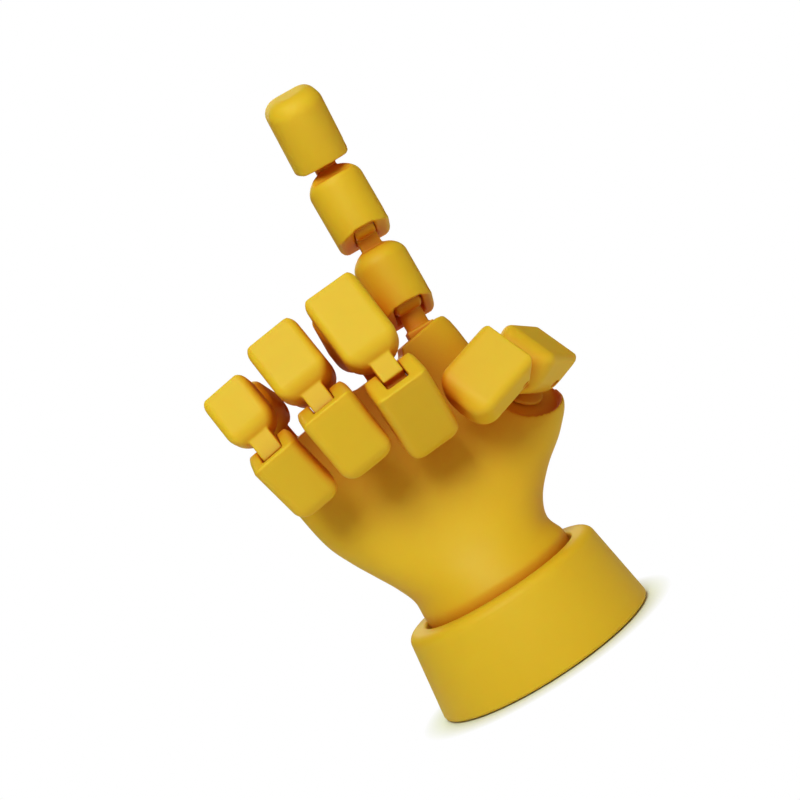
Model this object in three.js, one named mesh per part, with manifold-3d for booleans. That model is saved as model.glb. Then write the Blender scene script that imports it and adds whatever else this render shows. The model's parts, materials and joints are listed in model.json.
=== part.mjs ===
// Posable hand model on a round stand: a right hand with the palm towards -Y, the thumb towards +X and
// the fingers up. Every finger has a swivel knuckle and three hinges. Sizes are in millimetres.
import * as THREE from "three";
import { mergeVertices } from "three/addons/utils/BufferGeometryUtils.js";
import Module from "manifold-3d";

const wasm = await Module();
wasm.setup();

// Clearances
const seatGap = 0.3;
const runningGap = 0.3;
const swivelGap = 0.5;
const reliefGap = 0.5;

// Stand
const standBottomRadius = 40.8;
const standTopRadius = 37;
const standHeight = 31;
const standRimRounding = 3.5;
const standFloorTop = 14;
const standFloorThickness = 5;
const standFootGap = 0.5;
const padRadius = 36;
const padThickness = 1.8;

// Wrist and its pivot
const wristRadius = 28.2;
const wristClearance = 1.1;
const wristFootInset = 0.6;
const wristNeckBottom = 34;
const wristNeckHeight = 29;
const boltRadius = 4;
const boltHeadRadius = 6.5;
const boltHeadHeight = 4.5;
const boltLength = 27;
const washerRadius = 20;
const washerThickness = 1.6;
const springThickness = 1;
const insertRadius = 6.5;
const insertLength = 11;
const insertCover = 2.5;

// Palm: outline and thickness at a few heights, the first ones as shares of the wrist's neck and the
// others measured up from the palm's foot
const palmFoot = wristNeckBottom + wristNeckHeight;
const neckAt = (share) => wristNeckBottom + wristNeckHeight * share;
const palmStations = [
  { z: wristNeckBottom, left: -wristRadius, right: wristRadius, front: -wristRadius, back: wristRadius },
  { z: neckAt(0.207), left: -28, right: 26, front: -25.5, back: 25 },
  { z: neckAt(0.448), left: -30.6, right: 28.6, front: -22.5, back: 21.5 },
  { z: neckAt(0.724), left: -34.8, right: 36, front: -20.5, back: 18 },
  { z: palmFoot, left: -39, right: 46.2, front: -19.5, back: 16 },
  { z: palmFoot + 9, left: -42.8, right: 53, front: -18.5, back: 14.5 },
  { z: palmFoot + 21, left: -45, right: 49, front: -16.5, back: 13.5 },
  { z: palmFoot + 35, left: -46, right: 37, front: -14, back: 13 },
  { z: palmFoot + 49, left: -46, right: 34.6, front: -12.5, back: 12.5 },
  { z: palmFoot + 63, left: -45, right: 32.5, front: -11.5, back: 11.5 },
];
const squareFrom = 7;
const palmSquareness = 2.6;
const palmRingSteps = 2;
const palmPoints = 32;
const knuckleTop = 10.2;
const knuckleCorner = 3;

// Finger joints, measured from the hinge, which lies in front of the middle of the section
const hingeForward = 2;
const tongueWidth = 7.6;
const tongueRadius = 3.6;
const neckFront = 1.5;
const neckBack = 6.7;
const dorsalDepth = 0.425;
const cornerRounding = 3;
const domeHeight = 7;
const middleDomeDrop = 7.2;
const tipRounding = 6;
const roundedShare = 0.94;
const reliefFall = 1.6;
const hingePinRadius = 1.3;
const pinInset = 1.2;
const mostKnuckleFlex = 78;
const mostMiddleFlex = 94;
const mostTipFlex = 65;
const endPlane = 3;
const endSlope = 0.27;
const endRounding = 2.4;
const heelPlane = 6.1;
const heelStart = -2;
const heelSlant = 2;
const knuckleEndPlane = 3.6;
const knuckleEndSlope = 0.4;

// Knuckles
const knuckleWidth = 10.4;
const knuckleRadius = 4.1;
const knuckleBall = 5.8;
const knuckleNeckWidth = 8.6;
const knuckleNeckFront = 1.2;
const knuckleNeckBack = 6.7;
const splayDiscHalf = 4.8;
const splayDrop = 15.5;
const splayRadius = 5.2;
const splayRange = 10;
const splayPinRadius = 1.5;
const splayPinBack = 9.5;
const splayPinReach = 5.5;
const palmDepth = 40;

// Fingers: knuckle hinge place, its height from the palm's foot, lean, flexion at the three hinges,
// lengths, widths, how far below the last hinge the middle segment's dome ends, whether the tip has a heel
// behind its hinge, and how far the palm's edge falls across to the next finger
const fingers = [
  { name: "index", at: [24.6, -2, 65.8], lean: 2.5, turn: 0, flex: [0, 0, 26],
    lengths: [29.2, 27.3, 24.1], widths: [19.4, 20, 19.8], tipDomeDrop: 4, heel: false, rimFall: 3.2 },
  { name: "middle", at: [3.1, -1.3, 59.7], lean: -3, turn: 0, flex: [67.5, 91, 60.5],
    lengths: [35, 31.2, 26.3], widths: [19.2, 19.6, 19.1], tipDomeDrop: 6.8, heel: true, rimFall: 0 },
  { name: "ring", at: [-17.5, -1, 58.6], lean: -6.2, turn: -3, flex: [68, 87.5, 45.5],
    lengths: [33, 25.6, 21], widths: [18.8, 19.2, 19.2], tipDomeDrop: 6.8, heel: true, rimFall: 0 },
  { name: "little", at: [-37.1, -1.6, 55.6], lean: -8.2, turn: -7, flex: [69, 91.5, 45.5],
    lengths: [28.5, 22.4, 20.8], widths: [17, 17.2, 17], tipDomeDrop: 6.8, heel: true, rimFall: 0 },
];

// Thumb: hinge place, its height from the palm's foot, direction and hinge axis of its first segment,
// flexion and sizes
const thumb = {
  at: [47.9, -10.2, 23.6],
  direction: [-0.45, -0.85, 0.25],
  hinge: [0.36, -0.3, -0.93],
  flex: [70, 62],
  lengths: [25.4, 19.8],
  widths: [21, 21.4],
};
const mostThumbFlex = 80;
const mostThumbTipFlex = 75;
const thumbDomeDrop = 5.5;
const thumbSeatDrop = 11;
const thumbCollarRadius = 8;
const thumbFaceRadius = 14;
const thumbShaftRadius = 3.8;
const thumbShaftLength = 16;
const thumbGrooveRadius = 2.8;
const thumbGrooveDepth = 11;
const thumbPinRadius = 1.1;
const thumbPinBack = 12;

// Fineness of the round parts
const cornerTurns = [15, 45, 75];
const turnSteps = 44;
const pinSteps = 10;
const roundSteps = 16;

const plastic = { color: 0xdcb633, roughness: 0.45, metalness: 0 };
const darkRubber = { color: 0x2b2a28, roughness: 0.9, metalness: 0 };
const steel = { color: 0x9a9ca0, roughness: 0.35, metalness: 1 };
const brass = { color: 0xb8964a, roughness: 0.4, metalness: 1 };
const nylon = { color: 0xe8e4da, roughness: 0.6, metalness: 0 };

const radians = THREE.MathUtils.degToRad;

// Solids and booleans
function solid(geometry) {
  const bare = geometry.index ? geometry.toNonIndexed() : geometry.clone();
  bare.deleteAttribute("normal");
  bare.deleteAttribute("uv");
  const merged = mergeVertices(bare, 1e-4);
  const mesh = new wasm.Mesh({
    numProp: 3,
    vertProperties: new Float32Array(merged.attributes.position.array),
    triVerts: new Uint32Array(merged.index.array),
  });
  mesh.merge();
  return new wasm.Manifold(mesh);
}

function geometryOf(body) {
  const mesh = body.getMesh();
  const geometry = new THREE.BufferGeometry();
  geometry.setAttribute("position", new THREE.BufferAttribute(mesh.vertProperties, 3));
  geometry.setIndex(new THREE.BufferAttribute(mesh.triVerts, 1));
  geometry.computeVertexNormals();
  return geometry;
}

function node(name, body, look) {
  const mesh = new THREE.Mesh(geometryOf(body), new THREE.MeshStandardMaterial(look));
  mesh.name = name;
  return mesh;
}

// Basic forms, placed where they are wanted
function block([x0, x1], [y0, y1], [z0, z1]) {
  const box = new THREE.BoxGeometry(x1 - x0, y1 - y0, z1 - z0);
  return box.translate((x0 + x1) / 2, (y0 + y1) / 2, (z0 + z1) / 2);
}

function rodX(radius, from, to, steps = pinSteps) {
  const rod = new THREE.CylinderGeometry(radius, radius, to - from, steps);
  return rod.rotateZ(-Math.PI / 2).translate((from + to) / 2, 0, 0);
}

function rodY(radius, from, to, steps = pinSteps) {
  return new THREE.CylinderGeometry(radius, radius, to - from, steps).translate(0, (from + to) / 2, 0);
}

function rodZ(radius, from, to, steps = pinSteps) {
  const rod = new THREE.CylinderGeometry(radius, radius, to - from, steps);
  return rod.rotateX(Math.PI / 2).translate(0, 0, (from + to) / 2);
}

function turned(points, steps) {
  const profile = points.map(([radius, height]) => new THREE.Vector2(radius, height));
  return new THREE.LatheGeometry(profile, steps).rotateX(Math.PI / 2);
}

// A closed skin over rings of points that all have the same number of points
function skin(rings) {
  const count = rings[0].length;
  const points = rings.flat();
  const faces = [];
  for (let ring = 0; ring < rings.length - 1; ring += 1) {
    for (let i = 0; i < count; i += 1) {
      const a = ring * count + i;
      const b = ring * count + ((i + 1) % count);
      faces.push(a, b, b + count, a, b + count, a + count);
    }
  }
  const bottom = points.length;
  const top = bottom + 1;
  const last = (rings.length - 1) * count;
  points.push(middleOf(rings[0]), middleOf(rings[rings.length - 1]));
  for (let i = 0; i < count; i += 1) {
    const next = (i + 1) % count;
    faces.push(bottom, next, i);
    faces.push(top, last + i, last + next);
  }
  const geometry = new THREE.BufferGeometry();
  geometry.setAttribute("position", new THREE.Float32BufferAttribute(points.flat(), 3));
  geometry.setIndex(faces);
  return geometry;
}

function middleOf(ring) {
  const sum = ring.reduce((total, point) => total.map((value, axis) => value + point[axis]), [0, 0, 0]);
  return sum.map((value) => value / ring.length);
}

// Section of a finger: flat back with rounded corners, half-round palm side, anticlockwise from above
function sectionPoints(width) {
  const half = width / 2;
  const back = width * dorsalDepth;
  const points = [];
  const cornerSteps = 2;
  for (const side of [0, 1]) {
    const middle = side ? cornerRounding - half : half - cornerRounding;
    for (let i = 0; i <= cornerSteps; i += 1) {
      const turn = (Math.PI / 2) * (side + i / cornerSteps);
      points.push([middle + cornerRounding * Math.cos(turn), back + cornerRounding * (Math.sin(turn) - 1)]);
    }
  }
  const palmSteps = 10;
  for (let i = 0; i <= palmSteps; i += 1) {
    const turn = Math.PI * (1 + i / palmSteps);
    points.push([half * Math.cos(turn), half * Math.sin(turn)]);
  }
  return points;
}

// Body of a finger segment from z = start to z = end: a tip has a rounded edge, the others end in a dome
function segmentBody(nearWidth, farWidth, start, end, tip) {
  const rings = [];
  const steps = 5;
  const heights = [[start, 1]];
  for (let i = 0; i <= steps; i += 1) {
    const turn = (Math.PI / 2) * (i / steps) * roundedShare;
    if (tip) {
      const inset = tipRounding * (1 - Math.cos(turn));
      heights.push([end - tipRounding + tipRounding * Math.sin(turn), 1 - (2 * inset) / farWidth]);
    } else {
      heights.push([end - domeHeight + domeHeight * Math.sin(turn), Math.cos(turn)]);
    }
  }
  for (const [z, scale] of heights) {
    const width = THREE.MathUtils.mapLinear(z, start, end, nearWidth, farWidth);
    rings.push(sectionPoints(width).map(([x, y]) => [x * scale, y * scale + hingeForward, z]));
  }
  return solid(skin(rings));
}

// Cut that leaves the near end of a segment: slanted, lowest at the back and rising towards the palm
// side. With a heel, the back part ends level and farther out.
function endCut(width, plane, slope, heel) {
  const reach = width * 1.5;
  const shape = new THREE.Shape();
  shape.moveTo(-reach, -plane + slope * reach);
  shape.lineTo(-reach, -reach * 2);
  shape.lineTo(reach, -reach * 2);
  if (heel) {
    shape.lineTo(reach, -heelPlane);
    shape.lineTo(heelStart, -heelPlane);
    shape.lineTo(heelStart - heelSlant, -plane - slope * (heelStart - heelSlant));
  } else {
    shape.lineTo(reach, -plane - slope * reach);
  }
  const cut = new THREE.ExtrudeGeometry(shape, { depth: width * 1.5, bevelEnabled: false });
  return solid(cut.translate(0, 0, -width * 0.75).applyMatrix4(sideways));
}

// Rounding of the near end's corner at one side, along its slope
function endCorner(width, plane, slope, side) {
  const [edge, top] = [width / 2 - endRounding, endRounding - plane];
  const shape = new THREE.Shape();
  shape.moveTo(side * width, top - endRounding * Math.sin(radians(cornerTurns[0])));
  for (const turn of cornerTurns) {
    const across = edge + endRounding * Math.cos(radians(turn));
    shape.lineTo(side * across, top - endRounding * Math.sin(radians(turn)));
  }
  shape.lineTo(side * (edge + endRounding * Math.cos(radians(cornerTurns.at(-1)))), -width);
  shape.lineTo(side * width, -width);
  const cut = new THREE.ExtrudeGeometry(shape, { depth: width * 3, bevelEnabled: false });
  cut.rotateX(Math.PI / 2).translate(0, width * 1.5, 0);
  const slant = new THREE.Matrix4().set(1, 0, 0, 0, 0, 1, 0, 0, 0, -slope, 1, 0, 0, 0, 0, 1);
  return solid(cut.applyMatrix4(slant));
}

// Turns a shape drawn as (y, z) and drawn out along its third axis into the finger's own axes
const sideways = new THREE.Matrix4().set(0, 0, 1, 0, 1, 0, 0, 0, 0, 1, 0, 0, 0, 0, 0, 1);

// Slot in which the piece before turns: round about the hinge, open to the near end and the palm side,
// closed at the back. Its palm edge is cut back as far as the largest flexion needs.
function slotCut(slotWidth, headRadius, neckFrontSide, neckBackSide, mostFlex) {
  const reach = 30;
  const lift = runningGap - neckFrontSide;
  const past = Math.tan(radians(Math.max(mostFlex - 90, 0)));
  const shape = new THREE.Shape();
  shape.moveTo(neckBackSide + runningGap, runningGap);
  shape.lineTo(0, runningGap);
  shape.lineTo(0, lift);
  shape.lineTo(-reach, lift + reach * past);
  shape.lineTo(-reach, -reach);
  shape.lineTo(neckBackSide + runningGap, -reach);
  const cut = new THREE.ExtrudeGeometry(shape, { depth: slotWidth, bevelEnabled: false });
  const open = solid(cut.translate(0, 0, -slotWidth / 2).applyMatrix4(sideways));
  return open.add(solid(rodX(headRadius + runningGap, -slotWidth / 2, slotWidth / 2, roundSteps)));
}

// Tongue about the hinge, running back to its root
function tongueAt(root) {
  const half = tongueWidth / 2;
  const head = solid(rodX(tongueRadius, -half, half, roundSteps));
  return head.add(solid(block([-half, half], [neckFront, neckBack], [-root, 0])));
}

// Knuckle head about the hinge, like a ball with flat cheeks, on an oval neck that runs back to its root
function knuckleHead(root) {
  const half = knuckleWidth / 2;
  const ball = solid(new THREE.SphereGeometry(knuckleBall, roundSteps, roundSteps / 2));
  const head = solid(rodX(knuckleRadius, -half, half, roundSteps)).intersect(ball);
  const middle = (knuckleNeckFront + knuckleNeckBack) / 2;
  const neck = rodZ(1, -root, 0, roundSteps).scale(knuckleNeckWidth / 2, knuckleNeckBack - middle, 1);
  return head.add(solid(neck.translate(0, middle, 0)));
}

// Hole for a hinge pin along X: open at the +X side, closed at the other
function pinHole(halfWidth) {
  return solid(rodX(hingePinRadius + runningGap, pinInset - halfWidth, halfWidth + 1));
}

function hingePin(halfWidth) {
  return solid(rodX(hingePinRadius, pinInset + seatGap - halfWidth, halfWidth - pinInset));
}

// Room above a dome for the palm edge of the next segment, which swings down and back over it
function reliefCut(width, mostFlex) {
  const palmReach = width / 2 - hingeForward;
  const edge = Math.atan2(endPlane - endSlope * palmReach, palmReach) + radians(mostFlex);
  const far = Math.hypot(palmReach, endPlane - endSlope * palmReach) + reliefGap;
  const face = radians(mostFlex) - Math.atan(endSlope);
  const [y, z] = [-far * Math.cos(edge), -far * Math.sin(edge)];
  const shape = new THREE.Shape();
  shape.moveTo(y, z);
  shape.lineTo(y + width * Math.cos(face), z + width * Math.sin(face));
  shape.lineTo(-width, width);
  shape.lineTo(-width, z - reliefFall);
  const cut = new THREE.ExtrudeGeometry(shape, { depth: width * 2, bevelEnabled: false });
  return solid(cut.translate(0, 0, -width).applyMatrix4(sideways));
}

const fingerSlot = tongueWidth + 2 * runningGap;
const knuckleSlot = knuckleWidth + 2 * runningGap;

// One finger segment: slot and slanted end at its own hinge, tongue or rounded tip at the far end
function segment({ near, far, length, tip, heel, atKnuckle, mostFlex, nextWidth, nextFlex, domeDrop }) {
  const plane = atKnuckle ? knuckleEndPlane : endPlane;
  const slope = atKnuckle ? knuckleEndSlope : endSlope;
  const start = -plane - slope * (near + hingeForward);
  const end = tip ? length : length - domeDrop;
  const slot = atKnuckle
    ? slotCut(knuckleSlot, knuckleRadius, knuckleNeckFront, knuckleNeckBack, mostFlex)
    : slotCut(fingerSlot, tongueRadius, neckFront, neckBack, mostFlex);
  let body = segmentBody(near, far, start, end, tip);
  body = body.subtract(endCut(near, plane, slope, heel)).subtract(slot).subtract(pinHole(near / 2));
  const [cornerPlane, cornerSlope] = heel ? [heelPlane, 0] : [plane, slope];
  for (const side of [1, -1]) body = body.subtract(endCorner(near, cornerPlane, cornerSlope, side));
  if (tip) return body;
  const farTongue = tongueAt(domeDrop + domeHeight);
  const farHole = solid(rodX(hingePinRadius + runningGap, -tongueWidth, tongueWidth));
  const relieved = body.subtract(reliefCut(nextWidth, nextFlex).translate([0, 0, length]));
  return relieved.add(farTongue.subtract(farHole).translate([0, 0, length]));
}

// Knuckle: flat disc about the splay pin, neck, and round head about the first hinge
function knuckle() {
  const half = knuckleWidth / 2;
  const rise = splayDrop - knuckleTop;
  const [front, back] = [hingeForward - splayDiscHalf, hingeForward + splayDiscHalf];
  const disc = solid(rodY(splayRadius, front, back, roundSteps));
  const stem = solid(block([-half, half], [front, back], [0, rise]));
  const head = knuckleHead(splayDrop - rise / 2);
  const hingeHole = solid(rodX(hingePinRadius + runningGap, -knuckleWidth, knuckleWidth));
  const splayHole = solid(rodY(splayPinRadius + runningGap, -splayRadius * 2, splayRadius * 2));
  return disc.add(stem).add(head.subtract(hingeHole).translate([0, 0, splayDrop])).subtract(splayHole);
}

// Pocket in the palm for a finger knuckle, with room for its splay, and the hole for the splay pin
function knucklePocket() {
  const front = hingeForward - splayDiscHalf - runningGap;
  const back = hingeForward + splayDiscHalf + runningGap;
  const mouth = knuckleWidth / 2 + swivelGap + splayDrop * Math.tan(radians(splayRange)) * 0.5;
  const round = solid(rodY(splayRadius + swivelGap, front, back, roundSteps));
  const throat = solid(block([-mouth, mouth], [front, back], [0, splayDrop]));
  const pin = solid(rodY(splayPinRadius + runningGap, -splayPinReach, palmDepth));
  return round.add(throat).add(pin);
}

// Splay pin, from its blind end on the palm side to just under the back of the hand
function splayPin(backReach) {
  return solid(rodY(splayPinRadius, seatGap - splayPinReach, backReach));
}

// Wrist and palm as one smooth body
function spline(key) {
  const points = palmStations.map((station) => new THREE.Vector3(station.z, station[key], 0));
  return new THREE.CatmullRomCurve3(points, false, "centripetal");
}

function palmRings() {
  const sides = Object.fromEntries(["left", "right", "front", "back"].map((key) => [key, spline(key)]));
  const foot = wristRadius - wristFootInset;
  const count = (palmStations.length - 1) * palmRingSteps;
  const rings = [palmRing(-foot, foot, -foot, foot, footBottom)];
  for (let i = 0; i <= count; i += 1) {
    const at = i / count;
    const z = sides.left.getPoint(at).x;
    const side = (key) => sides[key].getPoint(at).y;
    rings.push(palmRing(side("left"), side("right"), side("front"), side("back"), z));
  }
  return rings;
}

function palmRing(left, right, front, back, z) {
  const flat = THREE.MathUtils.smoothstep(z, wristNeckBottom, palmFoot + squareFrom);
  const power = 2 / THREE.MathUtils.lerp(2, palmSquareness, flat);
  const ring = [];
  for (let i = 0; i < palmPoints; i += 1) {
    const turn = (Math.PI * 2 * i) / palmPoints;
    const across = Math.sign(Math.cos(turn)) * Math.abs(Math.cos(turn)) ** power;
    const deep = Math.sign(Math.sin(turn)) * Math.abs(Math.sin(turn)) ** power;
    const y = deep * (deep > 0 ? back : -front);
    ring.push([(left + right) / 2 + (across * (right - left)) / 2, y, z]);
  }
  return ring;
}

// Everything above the knuckle line is cut away, level with each finger's own lean
function knuckleLineCut() {
  const edge = [];
  for (const finger of fingers) {
    const frame = fingerFrame(finger);
    for (const side of [1, -1]) {
      const fall = side < 0 ? finger.rimFall : 0;
      const end = new THREE.Vector3((side * finger.widths[0]) / 2, 0, -knuckleTop - fall);
      edge.push(end.applyMatrix4(frame));
    }
  }
  const high = palmFoot * 3;
  const wide = 80;
  const shape = new THREE.Shape();
  const outer = edge[0];
  shape.moveTo(wide, outer.z - knuckleCorner);
  shape.lineTo(outer.x, outer.z - knuckleCorner);
  shape.lineTo(outer.x - knuckleCorner * 0.3, outer.z - knuckleCorner * 0.3);
  edge[0] = new THREE.Vector3(outer.x - knuckleCorner, 0, outer.z);
  for (const point of edge) shape.lineTo(point.x, point.z);
  shape.lineTo(-wide, edge[edge.length - 1].z - 2);
  shape.lineTo(-wide, high);
  shape.lineTo(wide, high);
  const cut = new THREE.ExtrudeGeometry(shape, { depth: wide, bevelEnabled: false });
  return solid(cut.rotateX(Math.PI / 2).translate(0, wide / 2, 0));
}

// Heights inside the stand
const footBottom = standFloorTop + washerThickness + 2 * seatGap;
const boltSeat = standFloorTop - standFloorThickness;
const insertBottom = footBottom + insertCover;

function hingePlace(digit) {
  return new THREE.Vector3(digit.at[0], digit.at[1], palmFoot + digit.at[2]);
}

function fingerFrame(finger) {
  const turn = new THREE.Matrix4().makeRotationZ(radians(finger.turn));
  const lean = new THREE.Matrix4().makeRotationY(radians(finger.lean));
  return lean.multiply(turn).setPosition(hingePlace(finger));
}

function placed(body, matrix) {
  return solid(geometryOf(body).applyMatrix4(matrix));
}

// Frame of the thumb's first segment when it lies in line with its shaft, and the frame of the shaft
function thumbFrames() {
  const z = new THREE.Vector3(...thumb.direction).normalize();
  const x = new THREE.Vector3(...thumb.hinge);
  x.addScaledVector(z, -x.dot(z)).normalize();
  const y = new THREE.Vector3().crossVectors(z, x);
  const flexed = new THREE.Matrix4().makeBasis(x, y, z);
  const shaft = flexed.multiply(new THREE.Matrix4().makeRotationX(-radians(thumb.flex[0])));
  return shaft.setPosition(hingePlace(thumb));
}

function thumbSocket() {
  const holeEnd = -thumbSeatDrop - thumbShaftLength - 1;
  const hole = solid(rodZ(thumbShaftRadius + runningGap, holeEnd, 0, roundSteps));
  const face = solid(rodZ(thumbFaceRadius, -thumbSeatDrop, palmDepth, roundSteps * 2));
  const pin = rodY(thumbPinRadius + runningGap, -5, palmDepth);
  const pinPlace = [thumbGrooveRadius + thumbPinRadius + runningGap, 0, -thumbSeatDrop - thumbGrooveDepth];
  return hole.add(face).add(solid(pin.translate(...pinPlace)));
}

function thumbKnuckle() {
  const seat = -thumbSeatDrop + seatGap;
  const profile = [
    [0, -thumbSeatDrop - thumbShaftLength],
    [thumbShaftRadius, -thumbSeatDrop - thumbShaftLength],
    [thumbShaftRadius, -thumbSeatDrop - thumbGrooveDepth - 1.6],
    [thumbGrooveRadius, -thumbSeatDrop - thumbGrooveDepth - 1.6],
    [thumbGrooveRadius, -thumbSeatDrop - thumbGrooveDepth + 1.6],
    [thumbShaftRadius, -thumbSeatDrop - thumbGrooveDepth + 1.6],
    [thumbShaftRadius, seat],
    [thumbCollarRadius, seat],
    [thumbCollarRadius, seat + 1.2],
    [0, seat + 2.5],
  ];
  const head = knuckleHead(-seat - 0.5);
  const hole = solid(rodX(hingePinRadius + runningGap, -knuckleWidth, knuckleWidth));
  return solid(turned(profile, roundSteps)).add(head).subtract(hole);
}

function thumbPin(backReach) {
  const place = [thumbGrooveRadius + thumbPinRadius + runningGap, 0, -thumbSeatDrop - thumbGrooveDepth];
  return solid(rodY(thumbPinRadius, -5 + seatGap, backReach).translate(...place));
}

function palmBody() {
  let body = solid(skin(palmRings())).subtract(knuckleLineCut());
  for (const finger of fingers) {
    const down = new THREE.Matrix4().makeTranslation(0, 0, -splayDrop);
    body = body.subtract(placed(knucklePocket(), fingerFrame(finger).multiply(down)));
  }
  body = body.subtract(placed(thumbSocket(), thumbFrames()));
  const insertTop = insertBottom + insertLength + 2 * seatGap;
  const insertPocket = rodZ(insertRadius + seatGap, insertBottom, insertTop, roundSteps);
  const boltHole = rodZ(boltRadius + 2 * runningGap, 0, boltSeat + boltLength + 1, roundSteps);
  return body.subtract(solid(insertPocket)).subtract(solid(boltHole));
}

// Stand, its pad and the wrist pivot
function standCup() {
  const recess = wristRadius + wristClearance;
  const counterbore = boltHeadRadius + 1;
  const pocket = padRadius + seatGap;
  const padTop = padThickness + seatGap;
  const profile = [
    [boltRadius + 2 * runningGap, boltSeat],
    [boltRadius + 2 * runningGap, standFloorTop],
    [recess, standFloorTop],
    [recess, standHeight - 1.2],
    [recess + 1.2, standHeight],
  ];
  const rimSteps = 3;
  for (let i = 0; i <= rimSteps; i += 1) {
    const turn = (Math.PI / 2) * (i / rimSteps);
    const radius = standTopRadius - standRimRounding + standRimRounding * Math.sin(turn);
    profile.push([radius, standHeight - standRimRounding + standRimRounding * Math.cos(turn)]);
  }
  profile.push(
    [standBottomRadius, standFootGap + 1],
    [standBottomRadius - 0.6, standFootGap],
    [pocket, standFootGap],
    [pocket, padTop],
    [counterbore, padTop],
    [counterbore, boltSeat],
    [boltRadius + 2 * runningGap, boltSeat],
  );
  return solid(turned(profile.reverse(), turnSteps));
}

function ringBody(outer, inner, bottom, top) {
  const profile = [[inner, bottom], [outer, bottom], [outer, top], [inner, top], [inner, bottom]];
  return solid(turned(profile, roundSteps));
}

function pivotBolt() {
  const headTop = boltSeat - springThickness - 2 * seatGap;
  const shaft = solid(rodZ(boltRadius, headTop - 1, boltSeat + boltLength, roundSteps));
  return solid(rodZ(boltHeadRadius, headTop - boltHeadHeight, headTop, 6)).add(shaft);
}

function addStand(hand) {
  const boltHole = boltRadius + 2 * runningGap;
  hand.add(node("base_cup", standCup(), plastic));
  hand.add(node("foot_pad", solid(rodZ(padRadius, 0, padThickness, turnSteps)), darkRubber));
  hand.add(node("pivot_bolt", pivotBolt(), steel));
  const springBottom = boltSeat - springThickness - seatGap;
  const spring = ringBody(boltHeadRadius, boltHole, springBottom, boltSeat - seatGap);
  hand.add(node("spring_washer", spring, steel));
  const washerBottom = standFloorTop + seatGap;
  const washer = ringBody(washerRadius, boltHole, washerBottom, washerBottom + washerThickness);
  hand.add(node("friction_washer", washer, nylon));
  const insertFoot = insertBottom + seatGap;
  const insert = ringBody(insertRadius, boltRadius + seatGap, insertFoot, insertFoot + insertLength);
  hand.add(node("pivot_insert", insert, brass));
}

function addFinger(hand, finger) {
  const [near, mid, end] = finger.widths;
  const root = new THREE.Group();
  root.applyMatrix4(fingerFrame(finger));
  const base = new THREE.Group();
  base.position.z = -splayDrop;
  base.add(node(`${finger.name}_knuckle`, knuckle(), plastic));
  base.add(node(`${finger.name}_splay_pin`, splayPin(splayPinBack), steel));
  root.add(base);
  const specs = [
    { part: "proximal", near, far: (near + mid) / 2, nextWidth: mid, nextFlex: mostMiddleFlex,
      domeDrop: middleDomeDrop, atKnuckle: true, mostFlex: mostKnuckleFlex },
    { part: "middle", near: mid, far: (mid + end) / 2, nextWidth: end, nextFlex: mostTipFlex,
      domeDrop: finger.tipDomeDrop, mostFlex: mostMiddleFlex },
    { part: "distal", near: end, far: end, tip: true, heel: finger.heel, mostFlex: mostTipFlex },
  ];
  let parent = root;
  specs.forEach((spec, i) => {
    const turn = new THREE.Group();
    turn.rotation.x = radians(finger.flex[i]);
    turn.position.z = i === 0 ? 0 : finger.lengths[i - 1];
    turn.add(node(`${finger.name}_${spec.part}`, segment({ ...spec, length: finger.lengths[i] }), plastic));
    turn.add(node(`${finger.name}_${spec.part}_pin`, hingePin(spec.near / 2), steel));
    parent.add(turn);
    parent = turn;
  });
  hand.add(root);
}

function addThumb(hand) {
  const [near, end] = thumb.widths;
  const root = new THREE.Group();
  root.applyMatrix4(thumbFrames());
  root.add(node("thumb_knuckle", thumbKnuckle(), plastic));
  root.add(node("thumb_shaft_pin", thumbPin(thumbPinBack), steel));
  const first = new THREE.Group();
  first.rotation.x = radians(thumb.flex[0]);
  const proximal = { near, far: end, length: thumb.lengths[0], nextWidth: end,
    nextFlex: mostThumbTipFlex, domeDrop: thumbDomeDrop, atKnuckle: true, mostFlex: mostThumbFlex };
  first.add(node("thumb_proximal", segment(proximal), plastic));
  first.add(node("thumb_proximal_pin", hingePin(near / 2), steel));
  const second = new THREE.Group();
  second.position.z = thumb.lengths[0];
  second.rotation.x = radians(thumb.flex[1]);
  second.add(node("thumb_distal", segment({ near: end, far: end, length: thumb.lengths[1], tip: true,
    mostFlex: mostThumbTipFlex }), plastic));
  second.add(node("thumb_distal_pin", hingePin(end / 2), steel));
  first.add(second);
  root.add(first);
  hand.add(root);
}

const hand = new THREE.Group();
addStand(hand);
hand.add(node("palm", palmBody(), plastic));
for (const finger of fingers) addFinger(hand, finger);
addThumb(hand);

export default hand;
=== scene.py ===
import bpy
import bmesh
from math import atan, atan2, cos, hypot, pi, radians, sin, sqrt, tan
from mathutils import Matrix, Vector
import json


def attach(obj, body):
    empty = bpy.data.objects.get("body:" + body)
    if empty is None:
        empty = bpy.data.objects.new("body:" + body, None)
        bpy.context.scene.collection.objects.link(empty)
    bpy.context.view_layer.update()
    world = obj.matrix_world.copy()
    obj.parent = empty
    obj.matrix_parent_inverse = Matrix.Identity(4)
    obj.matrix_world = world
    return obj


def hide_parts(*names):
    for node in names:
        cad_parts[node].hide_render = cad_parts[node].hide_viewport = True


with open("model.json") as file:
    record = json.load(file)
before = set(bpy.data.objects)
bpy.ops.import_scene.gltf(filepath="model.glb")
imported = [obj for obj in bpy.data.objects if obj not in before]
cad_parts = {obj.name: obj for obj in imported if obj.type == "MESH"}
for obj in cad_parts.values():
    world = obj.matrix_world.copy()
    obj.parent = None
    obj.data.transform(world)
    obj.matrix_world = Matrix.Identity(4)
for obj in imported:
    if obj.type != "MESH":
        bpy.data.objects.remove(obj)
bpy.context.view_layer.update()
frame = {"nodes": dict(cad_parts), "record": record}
print("frame loaded:", len(frame["nodes"]), "solids")

# All shapes are drawn in millimetres and scaled once, when they are made
millimetre = Matrix.Scale(0.001, 4)

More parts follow.
